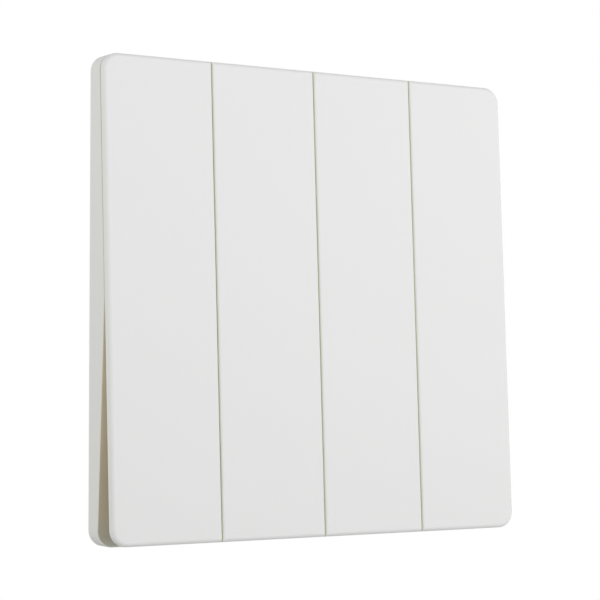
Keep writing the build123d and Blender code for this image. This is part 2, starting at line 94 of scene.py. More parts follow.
def add(
    tree: bpy.types.NodeTree, kind: str, inputs: dict | None = None, **settings: object
) -> bpy.types.Node:
    """Adds one node to a tree.

    Args:
        tree: Node tree of a material or a world.
        kind: Node type, without its ShaderNode prefix.
        inputs: Input name or number, with a constant or with the socket to link to it.
        settings: Properties of the node.

    Returns:
        The new node.
    """
    node = tree.nodes.new("ShaderNode" + kind)
    for name, value in settings.items():
        setattr(node, name, value)
    for key, value in (inputs or {}).items():
        if isinstance(value, bpy.types.NodeSocket):
            tree.links.new(value, node.inputs[key])
        else:
            node.inputs[key].default_value = value
    return node


def at_rest(points: np.ndarray) -> np.ndarray:
    """Turns points about the keys' pivot by the tilt and carries them to the pivot's place.

    Args:
        points: Array whose last axis is X, Y and Z from the pivot.

    Returns:
        The points at rest, in the same layout.
    """
    x, y, z = np.moveaxis(points, -1, 0)
    c, s = math.cos(TILT), math.sin(TILT)
    return np.stack([x, y * c + z * s - PIVOT_DEPTH, z * c - y * s], -1)


def cell(number: int) -> float:
    """Place of a gang's mechanism across the switch."""
    return (number - (GANGS + 1) / 2) * CELL_PITCH


@dataclass
class Shell:
    """Closed surface kept as whole arrays: points in millimetres, four-sided faces, pattern places.

    The pattern places, if any, are one vector per point that a material reads in place of the point's own.
    """

    points: np.ndarray
    quads: np.ndarray
    pattern: np.ndarray | None = None

    @staticmethod
    def tube(points: np.ndarray, pattern: np.ndarray | None = None) -> "Shell":
        """Joins rings of points: each point to the next on its ring and to the same one on the next ring.

        Args:
            points: Array of rings by points by 3. A ring drawn together to one point closes an end.
            pattern: Pattern places in the same layout.

        Returns:
            The tube.
        """
        count, around = points.shape[:2]
        ring, step = np.meshgrid(np.arange(count - 1), np.arange(around), indexing="ij")
        here, beside = ring * around + step, ring * around + (step + 1) % around
        quads = np.stack([here, beside, beside + around, here + around], -1)
        flat = None if pattern is None else pattern.reshape(-1, 3)
        return Shell(points.reshape(-1, 3), quads.reshape(-1, 4), flat)

    @staticmethod
    def sheet(points: np.ndarray, turned: bool = False) -> "Shell":
        """Joins a grid of points.

        Args:
            points: Array of rows by columns by 3.
            turned: Whether its faces look the other way.

        Returns:
            The sheet.
        """
        rows, columns = points.shape[:2]
        row, column = np.meshgrid(np.arange(rows - 1), np.arange(columns - 1), indexing="ij")
        here = row * columns + column
        quads = np.stack([here, here + 1, here + 1 + columns, here + columns], -1)
        quads = quads.reshape(-1, 4)
        return Shell(points.reshape(-1, 3), quads[:, ::-1] if turned else quads)

    @staticmethod
    def together(shells: list["Shell"]) -> "Shell":
        """Puts several shells into one, without pattern places."""
        starts = np.cumsum([0] + [len(shell.points) for shell in shells[:-1]])
        return Shell(
            np.concatenate([shell.points for shell in shells]),
            np.concatenate([shell.quads + start for shell, start in zip(shells, starts)]),
        )

    def volume(self) -> float:
        """Adds up the tetrahedra from the origin to each face, in cubic millimetres; outward is positive."""
        a, b, c, d = (self.points[self.quads[:, corner]] for corner in range(4))
        return float((a * (np.cross(b, c) + np.cross(c, d))).sum() / 6)

    def piece(self, name: str, finish: "Finish", sharp: float = 35.0) -> bpy.types.Object:
        """Makes the object: points that coincide become one, and faces without area drop out.

        Args:
            name: Name of the piece.
            finish: Its finish.
            sharp: Angle in degrees above which an edge stays crisp.

        Returns:
            The object, at the origin.
        """
        places = np.round(self.points / WELD).astype(np.int64)
        _, first, back = np.unique(places, axis=0, return_index=True, return_inverse=True)
        quads = back.reshape(-1)[self.quads]
        kept = quads != np.roll(quads, -1, axis=1)
        sides = kept.sum(1)
        triangles = quads[sides == 3][kept[sides == 3]].reshape(-1, 3)
        mesh = bpy.data.meshes.new(name)
        faces = quads[sides == 4].tolist() + triangles.tolist()
        mesh.from_pydata((self.points[first] * MM).tolist(), [], faces)
        mesh.polygons.foreach_set("use_smooth", np.ones(len(faces), bool))
        mesh.set_sharp_from_angle(angle=math.radians(sharp))
        if self.pattern is not None:
            layer = mesh.attributes.new("pattern", "FLOAT_VECTOR", "POINT")
            layer.data.foreach_set("vector", (self.pattern[first] * MM).ravel())
        mesh.materials.append(finish.material())
        made = bpy.data.objects.new(name, mesh)
        bpy.context.scene.collection.objects.link(made)
        LOG.info("made %s: %d faces, %.1f mm3", name, len(faces), self.volume())
        return made


# Finishes


@dataclass(frozen=True)
class Finish:
    """What every finish has in common: a name and one cached material."""

    name: str

    def material(self) -> bpy.types.Material:
        """Gives the finish's material, made on first use.

        Returns:
            The material.
        """
        found = bpy.data.materials.get(self.name)
        if found is None:
            found = bpy.data.materials.new(self.name)
            found.use_nodes = True
            found.node_tree.nodes.clear()
            self.paint(found.node_tree)
        return found

    def paint(self, tree: bpy.types.NodeTree) -> None:
        """Fills the material's node tree; each kind of finish has its own."""
        raise NotImplementedError


@dataclass(frozen=True)
class MouldedPlastic(Finish):
    """Injection-moulded plastic: a fine eroded grain over slow clouds of tone and gloss.

    Fields give the colour, the gloss, and the sizes in millimetres of the grain and of the clouds.
    """

    colour: str = "#E7E7E7"
    roughness: float = 0.54
    gloss_spread: float = 0.05
    ior: float = 1.5
    grain_mm: float = 0.55  # the real grain is about 0.1 mm, drawn coarser so that it shows
    grain_depth_mm: float = 0.004
    cloud_mm: float = 14.0
    tone_spread: float = 0.012

    def paint(self, tree: bpy.types.NodeTree) -> None:
        """Mixes tone, gloss and grain from noise on Object coordinates.

        Args:
            tree: Node tree to fill.
        """
        place = add(tree, "TexCoord").outputs["Object"]
        cloud = add(
            tree,
            "TexNoise",
            {"Vector": place, "Scale": per_metre(self.cloud_mm), "Detail": 3.0},
        ).outputs["Fac"]
        base = self.tone(tree, cloud)
        gloss = add(
            tree,
            "MapRange",
            {
                "Value": cloud,
                "From Min": NOISE_SPAN[0],
                "From Max": NOISE_SPAN[1],
                "To Min": self.roughness - self.gloss_spread,
                "To Max": self.roughness + self.gloss_spread,
            },
        ).outputs["Result"]
        grain = add(
            tree,
            "TexNoise",
            {"Vector": place, "Scale": per_metre(self.grain_mm), "Detail": 2.0},
        ).outputs["Fac"]
        bump = add(
            tree,
            "Bump",
            {"Height": grain, "Strength": 1.0, "Distance": self.grain_depth_mm * MM},
        ).outputs["Normal"]
        shader = add(
            tree,
            "BsdfPrincipled",
            {"Base Color": base, "Roughness": gloss, "IOR": self.ior, "Normal": bump},
        )
        add(tree, "OutputMaterial", {"Surface": shader.outputs["BSDF"]})

    def tone(
        self, tree: bpy.types.NodeTree, cloud: bpy.types.NodeSocket
    ) -> bpy.types.NodeSocket:
        """Works out the colour of every face.

        Args:
            tree: Node tree to add to.
            cloud: Slow noise from 0 to 1.

        Returns:
            Colour socket.
        """
        return self.clouded(tree, cloud, self.colour)

    def clouded(
        self, tree: bpy.types.NodeTree, cloud: bpy.types.NodeSocket, colour: str
    ) -> bpy.types.NodeSocket:
        """Spreads a colour to both sides by the clouds.

        Args:
            tree: Node tree to add to.
            cloud: Slow noise from 0 to 1.
            colour: Colour in the middle.

        Returns:
            Colour socket.
        """
        middle = np.array(linear(colour)[:3])
        dark = (*(middle * (1 - self.tone_spread)), 1.0)
        light = (*(middle * (1 + self.tone_spread)), 1.0)
        return add(
            tree, "Mix", {"Factor": cloud, 6: dark, 7: light}, data_type="RGBA"
        ).outputs[2]


@dataclass(frozen=True)
class FramePlastic(MouldedPlastic):
    """Plastic of the frame, with faces that look to the room from under the keys in an ivory tint.

    The ivory is partly the plastic's own colour and partly painted warm shade of the gap under the keys;
    painted shade darkens it towards both ends and greys it at the open lips. Fields give the colours of
    those faces at mid height, towards both ends and at their open lips, the heights in millimetres between
    which one becomes the next, and how squarely a face looks to the room to take the ivory and its shade.
    The lips are the greyest.
    """

    # ivory under the keys: partly the plastic's own colour, partly painted warm shade of the gap
    ivory_and_warm_shade: str = "#DFD2B6"
    # painted shade: the ivory darkens towards both ends of the gap
    painted_end_shade: str = "#C7BBA2"
    painted_end_shade_span_mm: tuple[float, float] = (12.0, 42.0)
    # painted shade: greyer still at the open lips of the gap
    painted_lip_shade: str = "#B2B0A0"
    painted_lip_shade_span_mm: tuple[float, float] = (36.5, 43.5)
    facing: tuple[float, float] = (0.8, 0.98)

    def tone(
        self, tree: bpy.types.NodeTree, cloud: bpy.types.NodeSocket
    ) -> bpy.types.NodeSocket:
        """Puts the ivory with its painted shade on faces that look to the room, and the colour on the rest.

        Args:
            tree: Node tree to add to.
            cloud: Slow noise from 0 to 1.

        Returns:
            Colour socket.
        """
        given = add(tree, "TexCoord").outputs
        height = add(tree, "SeparateXYZ", {"Vector": given["Object"]}).outputs["Z"]
        from_middle = add(tree, "Math", {0: height}, operation="ABSOLUTE").outputs[0]
        under = self.clouded(tree, cloud, self.ivory_and_warm_shade)
        # painted shade, darker towards both ends and greyest at the lips, mixed over the ivory
        stops = {self.painted_end_shade: self.painted_end_shade_span_mm, self.painted_lip_shade: self.painted_lip_shade_span_mm}
        for colour, (near, far) in stops.items():
            so_far = add(
                tree,
                "MapRange",
                {"Value": from_middle, "From Min": near * MM, "From Max": far * MM},
                interpolation_type="SMOOTHSTEP",
            ).outputs["Result"]
            then = self.clouded(tree, cloud, colour)
            under = add(
                tree, "Mix", {"Factor": so_far, 6: under, 7: then}, data_type="RGBA"
            ).outputs[2]
        inwards = add(tree, "SeparateXYZ", {"Vector": given["Normal"]}).outputs["Y"]
        share = add(
            tree,
            "MapRange",
            {"Value": inwards, "From Min": -self.facing[0], "From Max": -self.facing[1]},
            interpolation_type="SMOOTHSTEP",
        ).outputs["Result"]
        bare = self.clouded(tree, cloud, self.colour)
        return add(
            tree, "Mix", {"Factor": share, 6: bare, 7: under}, data_type="RGBA"
        ).outputs[2]


@dataclass(frozen=True)
class KeyPlastic(MouldedPlastic):
    """Plastic of the keys, whose sides carry painted shade: a tint yellower than the textured front.

    Fields give the colour of the painted seam shade on the sides, how much of it the two outer sides have,
    and the distances in millimetres from the middle of a seam between which the sides give way to the front.
    """

    # painted shade of the seams between keys: a yellow-green tint on the sides, less on the outer sides
    side: str = "#E5E7D6"
    outer_share: float = 0.3
    painted_seam_shade_span_mm: tuple[float, float] = (0.12, 0.28)

    def tone(
        self, tree: bpy.types.NodeTree, cloud: bpy.types.NodeSocket
    ) -> bpy.types.NodeSocket:
        """Works out the distance from the nearest seam, as a wave of the pitch, and paints the seam shade on
        the sides by it.

        Args:
            tree: Node tree to add to.
            cloud: Slow noise from 0 to 1.

        Returns:
            Colour socket.
        """
        place = add(tree, "TexCoord").outputs["Object"]
        across = add(tree, "SeparateXYZ", {"Vector": place}).outputs["X"]
        distance = add(
            tree, "Math", {0: across, 1: PITCH / 2 * MM}, operation="PINGPONG"
        ).outputs[0]
        near, far = self.painted_seam_shade_span_mm
        from_side = add(
            tree,
            "MapRange",
            {"Value": distance, "From Min": near * MM, "From Max": far * MM},
            interpolation_type="SMOOTHSTEP",
        ).outputs["Result"]
        from_middle = add(tree, "Math", {0: across}, operation="ABSOLUTE").outputs[0]
        strength = add(
            tree,
            "MapRange",
            {
                "Value": from_middle,
                "From Min": (GANGS - 1) / 2 * PITCH * MM,
                "From Max": GANGS / 2 * PITCH * MM,
                "To Min": 1.0,
                "To Max": self.outer_share,
            },
        ).outputs["Result"]
        share = add(
            tree,
            "MapRange",
            {"Value": from_side, "To Min": strength, "To Max": 0.0},
        ).outputs["Result"]
        front = self.clouded(tree, cloud, self.colour)
        # painted seam shade on the sides
        side = self.clouded(tree, cloud, self.side)
        return add(
            tree, "Mix", {"Factor": share, 6: front, 7: side}, data_type="RGBA"
        ).outputs[2]


@dataclass(frozen=True)
class WorkedMetal(Finish):
    """Metal that was stamped, turned, plated or drawn: streaks one way and patches of tarnish.

    Fields give the clean and the tarnished colour, the gloss and how far it goes down and up, the size
    of the tarnish patches in millimetres and the noise values between which they form, the spacing and
    depth of the streaks in millimetres, and how far the streaks are drawn out along each axis.
    """

    clean: str = "#D8BE7C"
    tarnish: str = "#B08F52"
    roughness: float = 0.3
    gloss_spread: tuple[float, float] = (0.06, 0.1)
    patch_mm: float = 2.5
    patch_span: tuple[float, float] = (0.45, 0.75)
    streak_mm: float = 0.18  # real streaks are finer, drawn coarser so that they show
    streak_depth_mm: float = 0.003
    stretch: tuple[float, float, float] = (1.0, 1.0, 0.08)
    follows_pattern: bool = False

    def paint(self, tree: bpy.types.NodeTree) -> None:
        """Mixes patches of tarnish with streaks along the way that the metal was worked.

        Args:
            tree: Node tree to fill.
        """
        if self.follows_pattern:
            place = add(tree, "Attribute", attribute_name="pattern").outputs["Vector"]
        else:
            place = add(tree, "TexCoord").outputs["Object"]
        patch = add(
            tree,
            "TexNoise",
            {"Vector": place, "Scale": per_metre(self.patch_mm), "Detail": 4.0},
        ).outputs["Fac"]
        least, most = self.patch_span
        share = add(
            tree, "MapRange", {"Value": patch, "From Min": least, "From Max": most}
        ).outputs["Result"]
        base = add(
            tree,
            "Mix",
            {"Factor": share, 6: linear(self.clean), 7: linear(self.tarnish)},
            data_type="RGBA",
        ).outputs[2]
        gloss = add(
            tree,
            "MapRange",
            {
                "Value": patch,
                "From Min": NOISE_SPAN[0],
                "From Max": NOISE_SPAN[1],
                "To Min": self.roughness - self.gloss_spread[0],
                "To Max": self.roughness + self.gloss_spread[1],
            },
        ).outputs["Result"]
        drawn = add(
            tree, "Mapping", {"Vector": place, "Scale": self.stretch}
        ).outputs["Vector"]
        streak = add(
            tree,
            "TexNoise",
            {"Vector": drawn, "Scale": per_metre(self.streak_mm), "Detail": 3.0},
        ).outputs["Fac"]
        bump = add(
            tree,
            "Bump",
            {"Height": streak, "Strength": 1.0, "Distance": self.streak_depth_mm * MM},
        ).outputs["Normal"]
        shader = add(
            tree,
            "BsdfPrincipled",
            {"Base Color": base, "Metallic": 1.0, "Roughness": gloss, "Normal": bump},
        )
        add(tree, "OutputMaterial", {"Surface": shader.outputs["BSDF"]})


# Polycarbonate from a fine satin mould: an even, clean white with a soft sheen, and painted shade on the
# sides at the seams.
KEY_WHITE = KeyPlastic("moulded_polycarbonate_white", colour="#E8E8E8")

# The same plastic in the frame, a little greener, with ivory under the keys that is partly painted
# warm shade, and painted shade that leaves it palest at mid height and darker towards both ends.
FRAME_WHITE = FramePlastic("moulded_polycarbonate_frame", colour="#E4E5E0")

# Glass-filled polyamide: a dull grey with a coarser grain, from a plain tool.
HOUSING_GREY = MouldedPlastic(
    "moulded_polyamide_grey",
    colour="#C4C7C6",
    roughness=0.5,
    grain_mm=0.4,
    grain_depth_mm=0.012,
    tone_spread=0.03,
)

# Acetal: milky and slightly waxy, for parts that slide.
ACETAL = MouldedPlastic(
    "moulded_acetal_natural", colour="#ECEAE0", roughness=0.42, ior=1.48, tone_spread=0.02
)

# Black polyamide with molybdenum filler, dull from rubbing.
PLUNGER_BLACK = MouldedPlastic(
    "moulded_polyamide_black", colour="#2A2A2B", roughness=0.48, tone_spread=0.08
)

# Rolled and stamped brass: yellow with brown tarnish and lines along the strip.
STAMPED_BRASS = WorkedMetal("stamped_brass")

# Brass bar, sawn and drilled: streaks along the bar and a duller skin.
TERMINAL_BRASS = WorkedMetal(
    "machined_brass",
    clean="#D6BB74",
    tarnish="#B08E4E",
    roughness=0.34,
    stretch=(1.0, 0.08, 1.0),
)

# Zinc-plated steel: cool grey with faint warm and blue clouds.
ZINC_STEEL = WorkedMetal(
    "zinc_plated_steel",
    clean="#C9CDD2",
    tarnish="#B4B2A4",
    roughness=0.32,
    patch_mm=1.6,
    stretch=(1.0, 1.0, 1.0),
)

# Silver alloy contact: pale and soft, with sulphide bloom.
CONTACT_SILVER = WorkedMetal(
    "silver_alloy_contact",
    clean="#E3E1DA",
    tarnish="#A79F8E",
    roughness=0.36,
    patch_mm=0.9,
    stretch=(1.0, 1.0, 1.0),
)

# Spring steel wire: grey, with fine lines drawn along the wire.
SPRING_STEEL = WorkedMetal(
    "drawn_spring_steel",
    clean="#B9BBBE",
    tarnish="#86837E",
    roughness=0.3,
    patch_mm=1.2,
    streak_mm=0.12,
    stretch=(0.06, 1.0, 1.0),
    follows_pattern=True,
)


# Sub-assemblies


@dataclass
class Key:
    """One moulded key: a thin plate with rounded front edges, hollowed behind, with grips at its pivot.

    Depths are measured from the pivot towards the room, before the tilt. A free side is an outer side
    of the switch, with round corners; a seam side lies against the next key. The whole numbers at the
    end say how many points draw a line.
    """

    number: int
    front: float = 5.3
    rear: float = 3.9
    half_height: float = 42.8
    gap: float = 0.19
    corner: float = 3.0
    side_round: float = 0.7
    end_round: float = 0.85
    seam_round: float = 0.4
    rear_round: float = 0.04
    skin: float = 1.1
    rim: float = 1.6
    draft: float = 0.06
    flat_margin: float = 0.25
    prong_size: tuple[float, float] = (2.15, 1.2)
    prong_height: float = 3.25
    prong_tip: float = 1.2
    prong_round: float = 0.2
    grip_offset: float = 3.975
    grip_clearance: float = 0.1
    hook_centre: float = 38.525
    hook_width: float = 4.65
    hook_radii: tuple[float, float] = (1.06, 2.06)
    hook_mouth: float = 1.5
    columns: int = 9
    corner_points: int = 11
    height_points: int = 12
    rear_points: int = 6
    edge_points: tuple[int, int] = (9, 14)
    prong_points: int = 5
    hook_points: tuple[int, int, int] = (10, 7, 5)

    @property
    def side(self) -> int:
        """Which side of the switch the key is on: -1 on the left, 1 on the right."""
        return -1 if self.number <= GANGS // 2 else 1

    @property
    def is_outer(self) -> bool:
        """Whether the key has a free side."""
        return self.number in (1, GANGS)

    @property
    def floor(self) -> float:
        """Depth of the hollow's floor."""
        return self.front - self.skin

    def plan(self, side: float, end: float, seam: float, depth: float) -> np.ndarray:
        """Grid over the key's outline, drawn in by its own amount at each kind of edge.

        Rows run at constant height, closely through the round corners: around a corner of radius R the
        row at angle a lies R - (R - end) cos a from the end and starts R - (R - side) sin a from the
        side. Columns divide each row evenly.

        Args:
            side: Inset from free sides.
            end: Inset from the top and bottom.
            seam: Inset from seam sides.
            depth: Distance of the grid from the pivot plane, towards the room.

        Returns:
            Array of rows by columns by 3, before the tilt.
        """
        turn = np.linspace(0, np.pi / 2, self.corner_points)
        low = self.corner - (self.corner - end) * np.cos(turn)
        bend = self.corner - (self.corner - side) * np.sin(turn)
        full = 2 * self.half_height
        middle = np.linspace(self.corner, full - self.corner, self.height_points)[1:-1]
        height = np.concatenate([low, middle, full - low[::-1]]) - self.half_height
        flank = np.concatenate([bend, np.full(len(middle), side), bend[::-1]])
        first = (self.number - 1 - GANGS / 2) * PITCH
        straight = np.full(len(height), self.gap / 2 + seam)
        left = first + (flank if self.number == 1 else straight)
        right = first + PITCH - (flank if self.number == GANGS else straight)
        share = np.linspace(0, 1, self.columns)
        x = left[:, None] + (right - left)[:, None] * share
        z = np.broadcast_to(height[:, None], x.shape)
        return np.stack([x, np.full(x.shape, -depth), z], -1)

    @staticmethod
    def border(grid: np.ndarray) -> np.ndarray:
        """Walks round a grid: along its bottom row, up its right side, back along the top and down."""
        return np.concatenate([grid[0, :-1], grid[:-1, -1], grid[-1, :0:-1], grid[:0:-1, 0]])

    def plate(self) -> Shell:
        """Closes the plate from the hollow's floor, round the rim and the edge, to the flat front.

        The front edge is a quarter circle of its own radius at each kind of edge. Each ring lies at one
        drop below the front all round: at a drop h a circle of radius r has drawn in by
        r - sqrt(r r - (r - h)(r - h)), and not at all where h is more than r. Rings lie closer from an
        angle of 1 on, near the front.

        Returns:
            The plate, before the tilt.
        """
        turn = np.linspace(0, np.pi / 2, self.rear_points)
        back = self.rear_round * np.stack([1 - np.sin(turn), 1 - np.cos(turn)], 1)
        sparse, close = self.edge_points
        angle = np.concatenate([np.linspace(0, 1, sparse)[:-1], np.linspace(1, np.pi / 2, close)])
        drop = self.end_round * (1 - np.sin(angle))[:, None]
        radius = np.array([self.side_round, self.end_round, self.seam_round])
        drawn_in = radius - np.sqrt(radius**2 - np.clip(radius - drop, 0, None) ** 2)
        floor = self.plan(*[self.rim + self.draft] * 3, self.floor)
        face = self.plan(*(radius + self.flat_margin), self.front)
        loops = [floor, self.plan(*[self.rim] * 3, self.rear)]
        loops += [self.plan(*[inset] * 3, self.rear + rise) for inset, rise in back]
        loops += [self.plan(*insets, self.front - h) for insets, (h,) in zip(drawn_in, drop)]
        rings = np.stack([self.border(grid) for grid in [*loops, face]])
        return Shell.together(
            [Shell.sheet(floor, turned=True), Shell.tube(rings), Shell.sheet(face)]
        )

    def prong(self, x: float, up: int) -> Shell:
        """Carries a rectangle with round corners along the depth, drawn in at its tip.

        Args:
            x: Place of its middle.
            up: 1 above the pivot, -1 below.

        Returns:
            The prong, before the tilt.
        """
        wide, thick = np.array(self.prong_size) / 2 - self.prong_round
        quarter = np.linspace(0, np.pi / 2, self.prong_points)
        turn = quarter[None] + np.arange(4)[:, None] * np.pi / 2
        corner_x = np.array([1, -1, -1, 1])[:, None] * wide
        corner_z = np.array([1, 1, -1, -1])[:, None] * thick
        inset = self.prong_round * (1 - np.sin(quarter[::-1]))
        radius = np.concatenate([[self.prong_round], self.prong_round - inset])[:, None, None]
        tip = self.prong_tip + self.prong_round * (1 - np.cos(quarter[::-1]))
        depth = np.concatenate([[self.floor + self.skin / 2], tip])[:, None, None]
        ring_x = x + corner_x + radius * np.cos(turn)
        ring_z = up * self.prong_height + corner_z + radius * np.sin(turn)
        rings = np.stack(np.broadcast_arrays(ring_x, -depth, ring_z), -1).reshape(len(depth), -1, 3)
        ends = rings[[0, -1]].mean(1, keepdims=True).repeat(rings.shape[1], 1)
        return Shell.tube(np.concatenate([ends[:1], rings, ends[1:]])[:, ::-1])

    def hook(self) -> Shell:
        """Carries a rectangle round the pivot pin: its inner end on the bore, its outer on the clip.

        The outer line follows a circle from the mouth to the clip's sides, then runs straight forward
        to the plate and across it. The inner line goes round the bore at the same share of its way.

        Returns:
            The clip, before the tilt.
        """
        bore, radius = self.hook_radii
        root = -(self.floor + self.skin / 2)
        start = math.asin(self.hook_mouth / 2 / radius)
        arc, straight, front = self.hook_points
        turn = np.linspace(start, np.pi / 2, arc)
        run = np.linspace(0, root, straight)[1:]
        across = np.linspace(radius, 0, front)[1:]
        half_y = np.concatenate([radius * np.cos(turn), run, np.full(len(across), root)])
        half_z = np.concatenate([radius * np.sin(turn), np.full(len(run), radius), across])
        outer = np.stack([half_y, half_z], 1)
        outer = np.concatenate([outer, outer[-2::-1] * [1, -1]])
        bore_start = math.asin(self.hook_mouth / 2 / bore)
        way = np.linspace(bore_start, 2 * np.pi - bore_start, len(outer))
        inner = bore * np.stack([np.cos(way), np.sin(way)], 1)
        x0 = self.side * self.hook_centre - self.hook_width / 2
        corners_x = np.array([0, 1, 1, 0]) * self.hook_width + x0
        section = np.stack([outer, outer, inner, inner], 1)
        x = np.broadcast_to(corners_x, section.shape[:2])
        rings = np.concatenate([x[..., None], section], -1)
        ends = rings[[0, -1]].mean(1, keepdims=True).repeat(4, 1)
        return Shell.tube(np.concatenate([ends[:1], rings, ends[1:]])[:, ::-1])

    def build(self) -> None:
        """Makes the key in its place and lets it ride on its switch."""
        middle = cell(self.number)
        grips = [middle - self.grip_offset, middle + self.grip_offset]
        if self.is_outer:
            from_seam = self.gap / 2 + self.grip_clearance + self.prong_size[0] / 2
            grips = [self.side * (PITCH + from_seam)]
        shells = [self.plate()] + [self.prong(x, up) for x in grips for up in (-1, 1)]
        if self.is_outer:
            shells.append(self.hook())
        shell = Shell.together(shells)
        shell.points = at_rest(shell.points)
        key = shell.piece(f"key_{self.number}", KEY_WHITE)
        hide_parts(f"rocker_{self.number}")
        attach(key, f"switch_{self.number}")


@dataclass
class CoilSpring:
    """Compression spring with a closed coil at each end, behind the plunger of one switch.

    The closed pitch is in wire radii, and the coils open over the opening turns. The whole numbers say
    how many points draw a turn of the helix and the wire's circle.
    """

    number: int
    seat: float = 2.0
    free_length: float = 6.6
    clearance: float = 0.05
    radius: float = 1.6
    wire: float = 0.22
    turns: float = 6.5
    closed_turns: float = 1.0
    closed_pitch: float = 2.06
    opening_turns: float = 0.4
    travel: float = 1.0
    turn_points: int = 40
    wire_points: int = 16

    def shell(self) -> Shell:
        """Carries a circle along a helix whose rise is slow in the closed coils.

        The wire's centre goes round at an even rate. Its rise adds up a pitch of one wire in the end
        coils and of an open coil between them, with a smooth change, scaled to the spring's length.

        Returns:
            The coil, before the tilt, with pattern places that lie along the wire.
        """
        steps = np.linspace(0, self.turns, int(self.turns * self.turn_points) + 1)
        into = np.minimum(steps, self.turns - steps) - self.closed_turns
        so_far = np.clip(into / self.opening_turns + 0.5, 0, 1)
        share = so_far * so_far * (3 - 2 * so_far)
        height = self.free_length - 2 * (self.wire + self.clearance)
        slow = self.closed_pitch * self.wire
        opened = np.concatenate([[0], np.cumsum((share[1:] + share[:-1]) / 2 * np.diff(steps))])
        rise = slow * steps + (height - slow * self.turns) * opened / opened[-1]
        angle = 2 * np.pi * steps
        x = cell(self.number)
        out = np.stack([np.cos(angle), 0 * angle, np.sin(angle)], 1)
        start = self.seat + self.wire + self.clearance
        line = out * self.radius + np.stack([0 * angle + x, start + rise, 0 * angle], 1)
        along = np.gradient(line, axis=0)
        length = np.concatenate([[0], np.cumsum(np.linalg.norm(np.diff(line, axis=0), axis=1))])
        along /= np.linalg.norm(along, axis=1, keepdims=True)
        beside = np.cross(along, out)
        turn = np.linspace(0, 2 * np.pi, self.wire_points, endpoint=False)
        circle = out[:, None] * np.cos(turn)[:, None] + beside[:, None] * np.sin(turn)[:, None]
        rings = line[:, None] + self.wire * circle
        flat = np.stack(np.broadcast_arrays(length[:, None], np.cos(turn), np.sin(turn)), -1)
        pattern = flat * [1, self.wire, self.wire]
        ends = rings[[0, -1]].mean(1, keepdims=True).repeat(len(turn), 1)
        marks = pattern[[0, -1]].mean(1, keepdims=True).repeat(len(turn), 1)
        return Shell.tube(
            np.concatenate([ends[:1], rings, ends[1:]]),
            np.concatenate([marks[:1], pattern, marks[1:]]),
        )

    def build(self) -> None:
        """Makes the spring on its switch, with a mesh of its own."""
        shell = self.shell()
        shell.points = at_rest(shell.points)
        spring = shell.piece(f"coil_spring_{self.number}", SPRING_STEEL, sharp=60)
        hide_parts(f"spring_{self.number}")
        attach(spring, f"switch_{self.number}")
        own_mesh(spring)


class Drive(Enum):
    """Recess in a screw's head, by its number of arms."""

    SLOT = 2
    CROSS = 4


